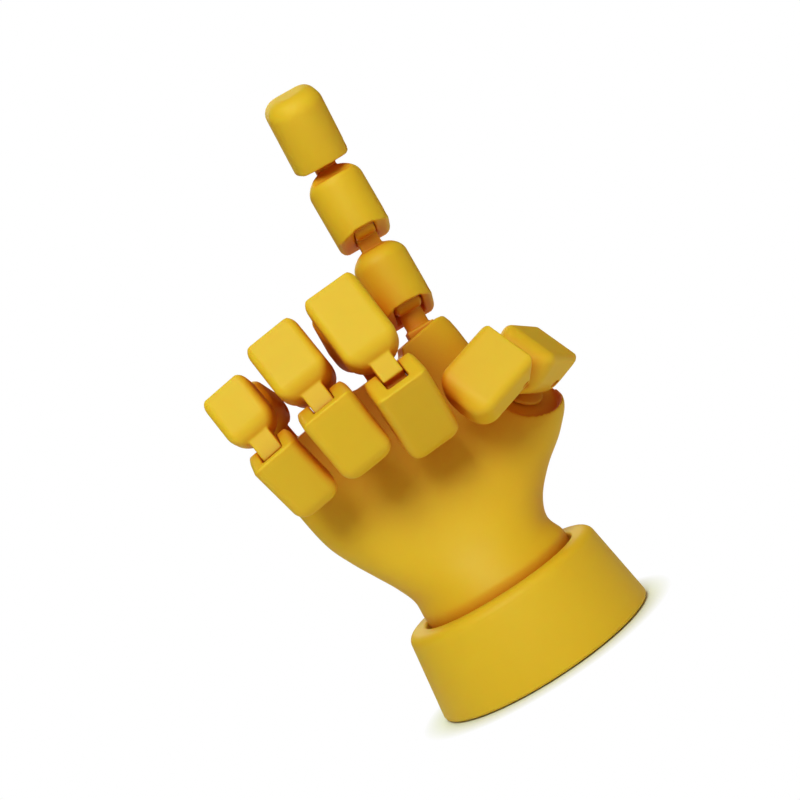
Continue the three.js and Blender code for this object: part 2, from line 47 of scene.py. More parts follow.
# Camera
cameraSetup = {
    "lens": 72.0,
    "sensor": 36.0,
    "aim": (0.0051, 0.0, 0.101),
    "distance": 0.548,
    "turnedRight": 4.0,
    "lookingDown": 1.45,
    "tilted": 3.2,
    "handLean": 29.5,
}


def addCamera(setup):
    down = radians(setup["lookingDown"])
    side = radians(setup["turnedRight"])
    ahead = Vector((sin(side) * cos(down), cos(side) * cos(down), -sin(down)))
    right = Vector((cos(side), -sin(side), 0.0))
    up = right.cross(ahead)
    roll = -radians(setup["tilted"]) - radians(setup["handLean"])
    rightRolled = right * cos(roll) + up * sin(roll)
    upRolled = up * cos(roll) - right * sin(roll)
    data = bpy.data.cameras.new("camera")
    data.lens = setup["lens"]
    data.sensor_width = setup["sensor"]
    data.clip_start = 0.01
    camera = bpy.data.objects.new("camera", data)
    turn = Matrix((rightRolled, upRolled, -ahead)).transposed().to_4x4()
    place = Vector(setup["aim"]) - ahead * setup["distance"]
    camera.matrix_world = Matrix.Translation(place) @ turn
    bpy.context.scene.collection.objects.link(camera)
    bpy.context.scene.camera = camera


addCamera(cameraSetup)
print("camera placed")

# Mesh helpers


def meshPiece(name, points, faces):
    mesh = bpy.data.meshes.new(name)
    mesh.from_pydata(points, [], faces)
    mesh.validate()
    piece = bpy.data.objects.new(name, mesh)
    bpy.context.scene.collection.objects.link(piece)
    return piece


def ringSkin(name, rings):
    count = len(rings[0])
    points = [point for ring in rings for point in ring]
    faces = [list(range(count))[::-1]]
    for level in range(len(rings) - 1):
        for i in range(count):
            low = level * count
            following = (i + 1) % count
            faces.append((low + i, low + following, low + count + following, low + count + i))
    last = (len(rings) - 1) * count
    faces.append(list(range(last, last + count)))
    return meshPiece(name, points, faces)


def circleRing(radius, height, steps):
    turns = [2 * pi * i / steps for i in range(steps)]
    return [(radius * cos(turn), radius * sin(turn), height) for turn in turns]


def rodZ(name, radius, low, high, steps=48):
    return ringSkin(name, [circleRing(radius, low, steps), circleRing(radius, high, steps)])


def rodX(name, radius, low, high, steps=48):
    rod = rodZ(name, radius, low, high, steps)
    rod.data.transform(Matrix.Rotation(pi / 2, 4, "Y"))
    return rod


def rodY(name, radius, low, high, steps=48):
    rod = rodZ(name, radius, low, high, steps)
    rod.data.transform(Matrix.Rotation(-pi / 2, 4, "X"))
    return rod


def slab(name, across, deep, tall):
    ring = [(across[0], deep[0]), (across[1], deep[0]), (across[1], deep[1]), (across[0], deep[1])]
    return ringSkin(name, [[(x, y, z) for x, y in ring] for z in tall])


def sidePrism(name, outline, low, high):
    # the outline is drawn as (y, z), anticlockwise seen from +X, and drawn out along X
    return ringSkin(name, [[(x, y, z) for y, z in outline] for x in (low, high)])


def bake(piece):
    bpy.context.view_layer.update()
    shown = piece.evaluated_get(bpy.context.evaluated_depsgraph_get())
    mesh = bpy.data.meshes.new_from_object(shown)
    old = piece.data
    piece.modifiers.clear()
    piece.data = mesh
    bpy.data.meshes.remove(old)
    return piece


def cutAway(piece, *cutters):
    # all cuts in one go, so that no rounding is left between one and the next
    group = bpy.data.collections.new("cutters")
    for cutter in cutters:
        group.objects.link(cutter)
    cut = piece.modifiers.new("cut", "BOOLEAN")
    cut.operation = "DIFFERENCE"
    cut.solver = "EXACT"
    cut.operand_type = "COLLECTION"
    cut.collection = group
    bake(piece)
    for cutter in cutters:
        bpy.data.objects.remove(cutter)
    bpy.data.collections.remove(group)
    return piece


def join(piece, *others):
    whole = bmesh.new()
    whole.from_mesh(piece.data)
    for other in others:
        whole.from_mesh(other.data)
        bpy.data.objects.remove(other)
    whole.to_mesh(piece.data)
    whole.free()
    return piece


def mould(piece, place, voxel, softening):
    # one even skin over the joined forms, with its edges softened as a mould leaves them
    skin = piece.modifiers.new("skin", "REMESH")
    skin.mode = "VOXEL"
    skin.voxel_size = voxel
    soft = piece.modifiers.new("soft", "SMOOTH")
    soft.factor = 0.5
    soft.iterations = softening
    bake(piece)
    piece.data.transform(millimetre @ place)
    piece.data.shade_smooth()
    return piece


def dress(piece, body, material, *nodes):
    piece.data.materials.clear()
    piece.data.materials.append(material)
    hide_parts(*nodes)
    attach(piece, body)


# Materials
plasticLook = {
    "color": (0.70, 0.41, 0.014),
    "paler": (0.74, 0.45, 0.022),
    "patchSize": 28.0,
    "roughness": 0.56,
    "roughnessSpread": 0.07,
    "grainSize": 900.0,
    "grainHeight": 0.00002,
    "sheen": 0.25,
    "glow": 0.3,
    "glowReach": (0.008, 0.002, 0.0003),
}
# the hand's pieces lie close together, and shade is painted into their colour where they face each other; the
# stand stands clear and gets no painted shade
handLook = {
    **plasticLook,
    # deep is the painted shade colour for the crevices between pieces
    "deep": (0.66, 0.17, 0.002),
    "deepReach": 0.035,
    "deepSpan": (0.3, 0.97),
    "deepSamples": 8,
}
rubberLook = {
    "color": (0.022, 0.021, 0.02),
    "paler": (0.04, 0.038, 0.036),
    "patchSize": 90.0,
    "roughness": 0.85,
    "roughnessSpread": 0.08,
    "grainSize": 1500.0,
    "grainHeight": 0.00006,
}
steelLook = {
    "color": (0.5, 0.51, 0.53),
    "paler": (0.62, 0.63, 0.65),
    "patchSize": 200.0,
    "roughness": 0.32,
    "roughnessSpread": 0.1,
    "grainSize": 2500.0,
    "grainHeight": 0.00001,
    "metal": 1.0,
}
brassLook = {
    "color": (0.62, 0.43, 0.14),
    "paler": (0.72, 0.54, 0.22),
    "patchSize": 150.0,
    "roughness": 0.3,
    "roughnessSpread": 0.1,
    "grainSize": 2000.0,
    "grainHeight": 0.00001,
    "metal": 1.0,
}
nylonLook = {
    "color": (0.72, 0.7, 0.64),
    "paler": (0.8, 0.78, 0.72),
    "patchSize": 60.0,
    "roughness": 0.55,
    "roughnessSpread": 0.08,
    "grainSize": 1200.0,
    "grainHeight": 0.00002,
}


def paintCreviceShade(nodes, links, look, toneAndPaintedShade):
    # painted shade: the colour is mixed towards a deep orange where ambient occlusion finds plastic close by
    near = nodes.new("ShaderNodeAmbientOcclusion")
    near.samples = look["deepSamples"]
    near.inputs["Distance"].default_value = look["deepReach"]
    closed, clear = look["deepSpan"]
    openness = nodes.new("ShaderNodeMapRange")
    openness.inputs["From Min"].default_value = closed
    openness.inputs["From Max"].default_value = clear
    links.new(near.outputs["AO"], openness.inputs["Value"])
    shade = nodes.new("ShaderNodeMix")
    shade.data_type = "RGBA"
    # the painted shade colour, used where the plastic is most closed in
    shade.inputs[6].default_value = (*look["deep"], 1.0)
    links.new(openness.outputs["Result"], shade.inputs[0])
    links.new(toneAndPaintedShade, shade.inputs[7])
    return shade.outputs[2]


def finish(name, look):
    material = bpy.data.materials.new(name)
    material.use_nodes = True
    nodes = material.node_tree.nodes
    links = material.node_tree.links
    shader = nodes["Principled BSDF"]
    shader.inputs["Metallic"].default_value = look.get("metal", 0.0)
    if "glow" in look:
        shader.inputs["Specular IOR Level"].default_value = look["sheen"]
        shader.inputs["Subsurface Weight"].default_value = look["glow"]
        shader.inputs["Subsurface Radius"].default_value = look["glowReach"]
        shader.inputs["Subsurface Scale"].default_value = 1.0
    where = nodes.new("ShaderNodeTexCoord")
    patches = nodes.new("ShaderNodeTexNoise")
    patches.inputs["Scale"].default_value = look["patchSize"]
    patches.inputs["Detail"].default_value = 3.0
    links.new(where.outputs["Object"], patches.inputs["Vector"])
    blend = nodes.new("ShaderNodeMix")
    blend.data_type = "RGBA"
    blend.inputs[6].default_value = (*look["color"], 1.0)
    blend.inputs[7].default_value = (*look["paler"], 1.0)
    links.new(patches.outputs["Fac"], blend.inputs[0])
    shader.inputs["Base Color"].default_value = (*look["color"], 1.0)
    shader.inputs["Roughness"].default_value = look["roughness"]
    toneAndPaintedShade = blend.outputs[2]
    # paint shade into the colour where the pieces crowd each other
    if "deep" in look:
        toneAndPaintedShade = paintCreviceShade(nodes, links, look, toneAndPaintedShade)
    links.new(toneAndPaintedShade, shader.inputs["Base Color"])
    spread = nodes.new("ShaderNodeMapRange")
    spread.inputs["To Min"].default_value = look["roughness"] - look["roughnessSpread"]
    spread.inputs["To Max"].default_value = look["roughness"] + look["roughnessSpread"]
    links.new(patches.outputs["Fac"], spread.inputs["Value"])
    links.new(spread.outputs["Result"], shader.inputs["Roughness"])
    grain = nodes.new("ShaderNodeTexNoise")
    grain.inputs["Scale"].default_value = look["grainSize"]
    grain.inputs["Detail"].default_value = 2.0
    links.new(where.outputs["Object"], grain.inputs["Vector"])
    bump = nodes.new("ShaderNodeBump")
    bump.inputs["Strength"].default_value = 0.5
    bump.inputs["Distance"].default_value = look["grainHeight"]
    links.new(grain.outputs["Fac"], bump.inputs["Height"])
    links.new(bump.outputs["Normal"], shader.inputs["Normal"])
    return material


yellowPlastic = finish("yellowPlastic", handLook)
standPlastic = finish("standPlastic", plasticLook)
darkRubber = finish("darkRubber", rubberLook)
platedSteel = finish("platedSteel", steelLook)
turnedBrass = finish("turnedBrass", brassLook)
plainNylon = finish("plainNylon", nylonLook)
print("materials mixed")

# Stand
standShape = {
    "bottomRadius": 40.8,
    "topRadius": 37.0,
    "height": 31.0,
    "rimRounding": 3.5,
    "wallTurn": 0.1,  # how far the wall faces up, in radians
    "footGap": 0.5,
    "footRounding": 1.2,
    "recess": 29.3,
    "recessRounding": 1.2,
    "floorTop": 14.0,
    "floorBottom": 9.0,
    "boltHole": 4.6,
    "counterbore": 7.5,
    "padPocket": 36.3,
    "padTop": 2.1,
    "steps": 160,
}


def arc(cx, cz, radius, fromTurn, toTurn, steps):
    turns = [fromTurn + (toTurn - fromTurn) * i / steps for i in range(steps + 1)]
    return [(cx + radius * cos(turn), cz + radius * sin(turn)) for turn in turns]


def makeStand(shape):
    high = shape["height"]
    wall = shape["wallTurn"]
    rim = shape["rimRounding"]
    foot = shape["footRounding"]
    inner = shape["recessRounding"]
    profile = [(shape["boltHole"], shape["floorBottom"]), (shape["boltHole"], shape["floorTop"])]
    profile += [(shape["recess"], shape["floorTop"])]
    profile += arc(shape["recess"] + inner, high - inner, inner, pi, pi / 2, 6)
    profile += arc(shape["topRadius"] - rim, high - rim, rim, pi / 2, wall, 10)
    profile += arc(shape["bottomRadius"] - foot, shape["footGap"] + foot, foot, wall, -pi / 2, 6)
    profile += [(shape["padPocket"], shape["footGap"]), (shape["padPocket"], shape["padTop"])]
    profile += [(shape["counterbore"], shape["padTop"]), (shape["counterbore"], shape["floorBottom"])]
    steps = shape["steps"]
    points = []
    for turn in range(steps):
        angle = 2 * pi * turn / steps
        points += [(radius * cos(angle), radius * sin(angle), z) for radius, z in profile]
    count = len(profile)
    faces = []
    for turn in range(steps):
        here = turn * count
        there = ((turn + 1) % steps) * count
        for i in range(count):
            following = (i + 1) % count
            faces.append((here + i, here + following, there + following, there + i))
    stand = meshPiece("standCup", points, faces)
    stand.data.transform(millimetre)
    stand.data.shade_smooth()
    return stand


standCup = makeStand(standShape)
dress(standCup, "base", standPlastic, "base_cup")
print("stand made")

# Fingers, in millimetres and degrees, each drawn along +Z from its hinge at the origin, palm side to -Y
# a segment's near end turns on the tongue of the segment before it, or on the head of a knuckle
tongueJoint = {"width": 7.6, "radius": 3.6, "neck": (1.5, 6.7), "endPlane": 3.0, "endSlope": 0.27}
knuckleJoint = {
    "width": 10.4,
    "radius": 4.1,
    "neck": (1.2, 6.7),
    "neckWidth": 8.6,
    "ball": 5.8,
    "endPlane": 3.6,
    "endSlope": 0.4,
}
jointShape = {
    "gap": 0.3,
    "hingeForward": 2.0,
    "endRounding": 2.4,
    "heelPlane": 6.1,
    "heelStart": -2.0,
    "heelSlant": 2.0,
    "pinRadius": 1.3,
    "pinInset": 1.2,
    "dorsalDepth": 0.425,  # of the segment's width
    "cornerRounding": 3.0,
    "domeHeight": 7.0,
    "middleDomeDrop": 7.2,
    "tipRounding": 6.0,
    "roundedShare": 0.94,  # of a quarter turn
    "domeSteps": 14,
    "reliefGap": 0.5,
    "reliefFall": 1.6,
    "mostFlex": {"knuckle": 78, "middle": 94, "tip": 65},  # from straight
    "voxel": 0.36,
    "softening": 5,
}
splayShape = {
    "knuckleTop": 10.2,
    "knuckleCorner": 3.0,
    "drop": 15.5,
    "radius": 5.2,
    "discHalf": 4.8,
    "range": 10,  # from side to side
    "swivelGap": 0.5,
    "pinRadius": 1.5,
    "pinReach": 5.5,
}
# at is the first hinge, lean and turn are the whole finger's, and flex is each hinge's in the photograph
fingerShapes = [
    {
        "name": "index", "at": (24.6, -2, 128.8), "lean": 2.5, "turn": 0, "flex": (0, 0, 26),
        "lengths": (29.2, 27.3, 24.1), "widths": (19.4, 20, 19.8),
        "tipDomeDrop": 4, "heel": False, "rimFall": 3.2,
    },
    {
        "name": "middle", "at": (3.1, -1.3, 122.7), "lean": -3, "turn": 0, "flex": (67.5, 91, 60.5),
        "lengths": (35, 31.2, 26.3), "widths": (19.2, 19.6, 19.1),
        "tipDomeDrop": 6.8, "heel": True, "rimFall": 0,
    },
    {
        "name": "ring", "at": (-17.5, -1, 121.6), "lean": -6.2, "turn": -3, "flex": (68, 87.5, 45.5),
        "lengths": (33, 25.6, 21), "widths": (18.8, 19.2, 19.2),
        "tipDomeDrop": 6.8, "heel": True, "rimFall": 0,
    },
    {
        "name": "little", "at": (-37.1, -1.6, 118.6), "lean": -8.2, "turn": -7, "flex": (69, 91.5, 45.5),
        "lengths": (28.5, 22.4, 20.8), "widths": (17, 17.2, 17),
        "tipDomeDrop": 6.8, "heel": True, "rimFall": 0,
    },
]
thumbShape = {
    "at": (47.9, -10.2, 86.6),
    "direction": (-0.45, -0.85, 0.25),
    "hinge": (0.36, -0.3, -0.93),
    "flex": (70, 62),
    "lengths": (25.4, 19.8),
    "widths": (21, 21.4),
    "mostFlex": (80, 75),
    "domeDrop": 5.5,
    "seatDrop": 11.0,
    "collar": ((8.0, 0.0), (8.0, 1.2), (3.0, 2.4)),  # radius and height of each ring
    "headSink": 0.5,
    "faceRadius": 14.0,
    "shaftRadius": 3.8,
    "shaftLength": 16.0,
    "shaftRise": 1.0,
}


def fingerSection(width):
    # flat back with rounded corners, half-round palm side
    half = width / 2
    back = width * jointShape["dorsalDepth"]
    corner = jointShape["cornerRounding"]
    points = arc(half - corner, back - corner, corner, 0, pi / 2, 8)
    points += arc(corner - half, back - corner, corner, pi / 2, pi, 8)
    points += arc(0, 0, half, pi, 2 * pi, 44)
    return points


def fingerForm(name, near, far, start, end, tip):
    # a tip has a rounded edge, the others end in a dome
    heights = [(start, 1.0), ((start + end) / 2, 1.0)]
    high = jointShape["tipRounding"] if tip else jointShape["domeHeight"]
    steps = jointShape["domeSteps"]
    for i in range(steps + 1):
        turn = (pi / 2) * (i / steps) * jointShape["roundedShare"]
        scale = 1 - 2 * high * (1 - cos(turn)) / far if tip else cos(turn)
        heights.append((end - high + high * sin(turn), scale))
    rings = []
    for z, scale in heights:
        width = near + (far - near) * (z - start) / (end - start)
        ring = [(x * scale, y * scale + jointShape["hingeForward"], z) for x, y in fingerSection(width)]
        rings.append(ring)
    return ringSkin(name, rings)


def slantedEnd(name, plane, slope, heel):
    reach = 60
    outline = [(-reach, -plane + slope * reach), (-reach, -reach), (reach, -reach)]
    if heel:
        inner = jointShape["heelStart"] - jointShape["heelSlant"]
        level = -jointShape["heelPlane"]
        outline += [(reach, level), (jointShape["heelStart"], level), (inner, -plane - slope * inner)]
    else:
        outline.append((reach, -plane - slope * reach))
    return sidePrism(name, outline, -reach, reach)


def endCorner(name, width, plane, slope, side):
    # rounds the corner of the near end at one side, along its slope
    radius = jointShape["endRounding"]
    edge, top = width / 2 - radius, radius - plane
    turns = [radians(turn) for turn in range(10, 90, 10)]
    outline = [(width, top - radius * sin(turns[0]))]
    outline += [(edge + radius * cos(turn), top - radius * sin(turn)) for turn in turns]
    outline += [(edge + radius * cos(turns[-1]), -width), (width, -width)]
    ends = (-1.5 * width, 1.5 * width)
    corner = ringSkin(name, [[(side * x, y, z) for x, z in outline[::-side]] for y in ends])
    slant = Matrix(((1, 0, 0, 0), (0, 1, 0, 0), (0, -slope, 1, 0), (0, 0, 0, 1)))
    corner.data.transform(slant)
    return corner


def slotFor(name, joint, mostFlex):
    gap = jointShape["gap"]
    front, back = joint["neck"]
    half = joint["width"] / 2 + gap
    lift = gap - front
    past = tan(radians(max(mostFlex - 90, 0)))
    reach = 30
    outline = [(back + gap, gap), (0, gap), (0, lift), (-reach, lift + reach * past)]
    outline += [(-reach, -reach), (back + gap, -reach)]
    opening = sidePrism(name + "Opening", outline, -half, half)
    head = rodX(name + "Head", joint["radius"] + gap, -half, half)
    return opening, head


def tongueFor(name, root):
    half = tongueJoint["width"] / 2
    stem = slab(name + "Stem", (-half, half), tongueJoint["neck"], (-root, 0))
    head = rodX(name, tongueJoint["radius"], -half, half)
    return pierced(head, stem)


def knuckleHead(name, root):
    # like a ball with flat cheeks, on an oval neck
    half = knuckleJoint["width"] / 2
    front, back = knuckleJoint["neck"]
    head = rodX(name, knuckleJoint["radius"], -half, half)
    ball = ballShape(name + "Ball", knuckleJoint["ball"])
    keep = head.modifiers.new("keep", "BOOLEAN")
    keep.operation = "INTERSECT"
    keep.solver = "EXACT"
    keep.object = ball
    bake(head)
    bpy.data.objects.remove(ball)
    neck = rodZ(name + "Neck", 1, -root, 0)
    oval = Matrix.Diagonal((knuckleJoint["neckWidth"] / 2, (back - front) / 2, 1, 1))
    neck.data.transform(Matrix.Translation((0, (front + back) / 2, 0)) @ oval)
    return pierced(head, neck)


def ballShape(name, radius):
    ball = bmesh.new()
    bmesh.ops.create_uvsphere(ball, u_segments=48, v_segments=24, radius=radius)
    mesh = bpy.data.meshes.new(name)
    ball.to_mesh(mesh)
    ball.free()
    piece = bpy.data.objects.new(name, mesh)
    bpy.context.scene.collection.objects.link(piece)
    return piece


def pierced(*forms):
    # the hinge pin's hole goes through every form before they are joined
    reach = 20
    for form in forms:
        cutAway(form, pinHole(form.name + "Hole", -reach, reach))
    return join(*forms)


def pinHole(name, low, high):
    return rodX(name, jointShape["pinRadius"] + jointShape["gap"], low, high, 24)


def reliefCut(name, width, mostFlex):
    # room above a dome for the palm edge of the next segment, which swings down and back over it
    slope = tongueJoint["endSlope"]
    palmReach = width / 2 - jointShape["hingeForward"]
    rise = tongueJoint["endPlane"] - slope * palmReach
    edge = atan2(rise, palmReach) + radians(mostFlex)
    far = hypot(palmReach, rise) + jointShape["reliefGap"]
    face = radians(mostFlex) - atan(slope)
    y, z = -far * cos(edge), -far * sin(edge)
    fall = z - jointShape["reliefFall"]
    outline = [(y, z), (y + width * cos(face), z + width * sin(face)), (-width, width), (-width, fall)]
    return sidePrism(name, outline, -width, width)


def makeSegment(name, near, far, length, joint, mostFlex, following=None, heel=False):
    plane, slope = joint["endPlane"], joint["endSlope"]
    start = -plane - slope * (near + jointShape["hingeForward"])
    end = length - following["domeDrop"] if following else length
    segment = fingerForm(name, near, far, start, end, not following)
    slot = slotFor(name, joint, mostFlex)
    hole = pinHole(name + "Hole", jointShape["pinInset"] - near / 2, near)
    cornerPlane, cornerSlope = (jointShape["heelPlane"], 0) if heel else (plane, slope)
    corners = [endCorner(name + "Corner", near, cornerPlane, cornerSlope, side) for side in (1, -1)]
    cutAway(segment, slantedEnd(name + "End", plane, slope, heel), *corners, *slot, hole)
    if not following:
        return segment
    relief = reliefCut(name + "Relief", following["width"], following["mostFlex"])
    relief.data.transform(Matrix.Translation((0, 0, length)))
    cutAway(segment, relief)
    tongue = tongueFor(name + "Tongue", following["domeDrop"] + jointShape["domeHeight"])
    tongue.data.transform(Matrix.Translation((0, 0, length)))
    return join(segment, tongue)


def makeKnuckle(name):
    half = knuckleJoint["width"] / 2
    forward = jointShape["hingeForward"]
    deep = (forward - splayShape["discHalf"], forward + splayShape["discHalf"])
    rise = splayShape["drop"] - splayShape["knuckleTop"]
    knuckle = rodY(name, splayShape["radius"], *deep)
    block = slab(name + "Block", (-half, half), deep, (0, rise))
    head = knuckleHead(name + "Head", splayShape["drop"] - rise / 2)
    head.data.transform(Matrix.Translation((0, 0, splayShape["drop"])))
    holeRadius = splayShape["pinRadius"] + jointShape["gap"]
    reach = 20
    for form in (knuckle, block):
        cutAway(form, rodY(name + "PinHole", holeRadius, -reach, reach, 24))
    return join(knuckle, block, head)


def fingerPlace(finger):
    lean = Matrix.Rotation(radians(finger["lean"]), 4, "Y")
    turn = Matrix.Rotation(radians(finger["turn"]), 4, "Z")
    return Matrix.Translation(finger["at"]) @ lean @ turn


def finishSegment(piece, place, node):
    mould(piece, place, jointShape["voxel"], jointShape["softening"])
    dress(piece, node, yellowPlastic, node)


def makeFinger(finger):
    name = finger["name"]
    near, mid, tip = finger["widths"]
    most = jointShape["mostFlex"]
    place = fingerPlace(finger)
    knuckle = makeKnuckle(name + "Knuckle")
    pivot = place @ Matrix.Translation((0, 0, -splayShape["drop"]))
    finishSegment(knuckle, pivot, name + "_knuckle")
    beyondProximal = {"width": mid, "mostFlex": most["middle"], "domeDrop": jointShape["middleDomeDrop"]}
    beyondMiddle = {"width": tip, "mostFlex": most["tip"], "domeDrop": finger["tipDomeDrop"]}
    parts = [
        ("proximal", near, (near + mid) / 2, knuckleJoint, most["knuckle"], beyondProximal),
        ("middle", mid, (mid + tip) / 2, tongueJoint, most["middle"], beyondMiddle),
        ("distal", tip, tip, tongueJoint, most["tip"], None),
    ]
    for i, (part, wide, farWide, joint, mostFlex, following) in enumerate(parts):
        if i:
            place = place @ Matrix.Translation((0, 0, finger["lengths"][i - 1]))
        place = place @ Matrix.Rotation(radians(finger["flex"][i]), 4, "X")
        heel = part == "distal" and finger["heel"]
        sizes = (wide, farWide, finger["lengths"][i])
        segment = makeSegment(name + part.capitalize(), *sizes, joint, mostFlex, following, heel)
        finishSegment(segment, place, name + "_" + part)


for fingerShape in fingerShapes:
    makeFinger(fingerShape)
    print("finger made:", fingerShape["name"])


def thumbPlace(shape):
    along = Vector(shape["direction"]).normalized()
    across = Vector(shape["hinge"])
    across = (across - along * across.dot(along)).normalized()
    back = along.cross(across)
    flexed = Matrix((across, back, along)).transposed().to_4x4()
    return Matrix.Translation(shape["at"]) @ flexed @ Matrix.Rotation(-radians(shape["flex"][0]), 4, "X")


def makeThumb(shape):
    place = thumbPlace(shape)
    seat = jointShape["gap"] - shape["seatDrop"]
    shaftEnds = (seat - shape["shaftLength"], seat + shape["shaftRise"])
    shaft = rodZ("thumbKnuckle", shape["shaftRadius"], *shaftEnds)
    rings = [circleRing(radius, seat + height, 64) for radius, height in shape["collar"]]
    collar = ringSkin("thumbCollar", rings)
    knuckle = join(shaft, collar, knuckleHead("thumbHead", -seat - shape["headSink"]))
    finishSegment(knuckle, place, "thumb_knuckle")
    near, tip = shape["widths"]
    nearLength, tipLength = shape["lengths"]
    nearFlex, tipFlex = [Matrix.Rotation(radians(flex), 4, "X") for flex in shape["flex"]]
    nearMost, tipMost = shape["mostFlex"]
    beyond = {"width": tip, "mostFlex": tipMost, "domeDrop": shape["domeDrop"]}
    place = place @ nearFlex
    proximal = makeSegment("thumbProximal", near, tip, nearLength, knuckleJoint, nearMost, beyond)
    finishSegment(proximal, place, "thumb_proximal")
    place = place @ Matrix.Translation((0, 0, nearLength)) @ tipFlex
    distal = makeSegment("thumbDistal", tip, tip, tipLength, tongueJoint, tipMost)
    finishSegment(distal, place, "thumb_distal")


makeThumb(thumbShape)
print("thumb made")

# Palm: height, left, right, front and back of each level
palmShape = {
    "levels": [
        (34, -28.2, 28.2, -28.2, 28.2),
        (40, -28, 26, -25.5, 25),
        (47, -30.6, 28.6, -22.5, 21.5),
        (55, -34.8, 36, -20.5, 18),
        (63, -39, 46.2, -19.5, 16),
        (72, -42.8, 53, -18.5, 14.5),
        (84, -45, 49, -16.5, 13.5),
        (98, -46, 37, -14, 13),
        (112, -46, 34.6, -12.5, 12.5),
        (126, -45, 32.5, -11.5, 11.5),
    ],
    "footRadius": 27.6,
    "footBottom": 16.2,
    "boltRoomRadius": 7.2,
    "boltRoomTop": 30.5,
    "outerCornerFall": 0.3,
    "littleSideFall": 2.0,
    "cutReach": 80,
    "cutTop": 200,
    "pocketOverlap": 0.05,
    "squareness": 2.6,
    "roundUpTo": (34, 70),
    "stepsBetween": 9,
    "pointsAround": 144,
    "voxel": 0.6,
    "softening": 5,
}


def smoothly(z, low, high):
    part = min(max((z - low) / (high - low), 0), 1)
    return part * part * (3 - 2 * part)


def centripetal(a, b, c, d, part):
    # one span of the curve through b and c, with its knots spaced by the root of the distances
    knots = [0.0]
    for first, second in ((a, b), (b, c), (c, d)):
        gap = (Vector(second) - Vector(first)).length
        knots.append(knots[-1] + max(sqrt(gap), 1e-6))
    t = knots[1] + (knots[2] - knots[1]) * part
    points = [Vector(p) for p in (a, b, c, d)]
    for level in (1, 2, 3):
        for i in range(4 - level):
            span = (knots[i], knots[i + level])
            if level == 3:
                span = (knots[1], knots[2])
            share = (t - span[0]) / (span[1] - span[0])
            points[i] = points[i].lerp(points[i + 1], share)
    return points[0]


def palmLevels(shape):
    levels = [Vector(level) for level in shape["levels"]]
    before = levels[0] * 2 - levels[1]
    after = levels[-1] * 2 - levels[-2]
    padded = [before, *levels, after]
    found = []
    for i in range(len(levels) - 1):
        for step in range(shape["stepsBetween"]):
            found.append(centripetal(*padded[i:i + 4], step / shape["stepsBetween"]))
    found.append(levels[-1])
    return found


def palmRing(shape, z, left, right, front, back):
    flat = smoothly(z, *shape["roundUpTo"])
    power = 2 / (2 + (shape["squareness"] - 2) * flat)
    ring = []
    for i in range(shape["pointsAround"]):
        turn = 2 * pi * i / shape["pointsAround"]
        across = abs(cos(turn)) ** power * (1 if cos(turn) > 0 else -1)
        deep = abs(sin(turn)) ** power * (1 if sin(turn) > 0 else -1)
        y = deep * (back if deep > 0 else -front)
        ring.append(((left + right) / 2 + across * (right - left) / 2, y, z))
    return ring


def knuckleLine(shape):
    # cuts the palm off along the line of the knuckles, with a rounded corner on the index finger's side
    edge = []
    for finger in fingerShapes:
        for side in (1, -1):
            fall = finger["rimFall"] if side < 0 else 0
            point = Vector((side * finger["widths"][0] / 2, 0, -splayShape["knuckleTop"] - fall))
            edge.append(fingerPlace(finger) @ point)
    corner = splayShape["knuckleCorner"]
    blunt = corner * shape["outerCornerFall"]
    far, top = shape["cutReach"], shape["cutTop"]
    outer = edge[0]
    outline = [(far, outer.z - corner), (outer.x, outer.z - corner)]
    outline += [(outer.x - blunt, outer.z - blunt), (outer.x - corner, outer.z)]
    outline += [(point.x, point.z) for point in edge[1:]]
    outline += [(-far, edge[-1].z - shape["littleSideFall"]), (-far, top), (far, top)]
    return ringSkin("knuckleLine", [[(x, y, z) for x, z in outline] for y in (-far / 2, far / 2)])


def knucklePocket(finger):
    gap = jointShape["gap"]
    forward = jointShape["hingeForward"]
    deep = (forward - splayShape["discHalf"] - gap, forward + splayShape["discHalf"] + gap)
    spread = splayShape["drop"] * tan(radians(splayShape["range"])) * 0.5
    mouth = knuckleJoint["width"] / 2 + splayShape["swivelGap"] + spread
    overlap = palmShape["pocketOverlap"]
    mouthDeep = (deep[0] - overlap, deep[1] + overlap)
    pinEnds = (-splayShape["pinReach"], palmShape["cutReach"] / 2)
    place = fingerPlace(finger) @ Matrix.Translation((0, 0, -splayShape["drop"]))
    cutters = [
        rodY("pocketRound", splayShape["radius"] + splayShape["swivelGap"], *deep),
        slab("pocketMouth", (-mouth, mouth), mouthDeep, (0, splayShape["drop"])),
        rodY("pocketPin", splayShape["pinRadius"] + gap, *pinEnds, 24),
    ]
    for cutter in cutters:
        cutter.data.transform(place)
    return cutters


def thumbSocket(shape):
    place = thumbPlace(shape)
    drop = shape["seatDrop"]
    holeDepth = drop + shape["shaftLength"] + shape["shaftRise"]
    hole = rodZ("socketHole", shape["shaftRadius"] + jointShape["gap"], -holeDepth, 0)
    face = rodZ("socketFace", shape["faceRadius"], -drop, 40, 96)
    for cutter in (hole, face):
        cutter.data.transform(place)
    return hole, face


def makePalm(shape):
    foot = shape["footRadius"]
    rings = [palmRing(shape, shape["footBottom"], -foot, foot, -foot, foot)]
    rings += [palmRing(shape, *level) for level in palmLevels(shape)]
    palm = ringSkin("palmAndWrist", rings)
    pockets = [cutter for finger in fingerShapes for cutter in knucklePocket(finger)]
    boltRoom = rodZ("boltRoom", shape["boltRoomRadius"], 0, shape["boltRoomTop"])
    cutAway(palm, knuckleLine(shape), boltRoom, *thumbSocket(thumbShape), *pockets)
    return mould(palm, Matrix.Identity(4), shape["voxel"], shape["softening"])


palmAndWrist = makePalm(palmShape)
dress(palmAndWrist, "hand", yellowPlastic, "palm")
print("palm made")

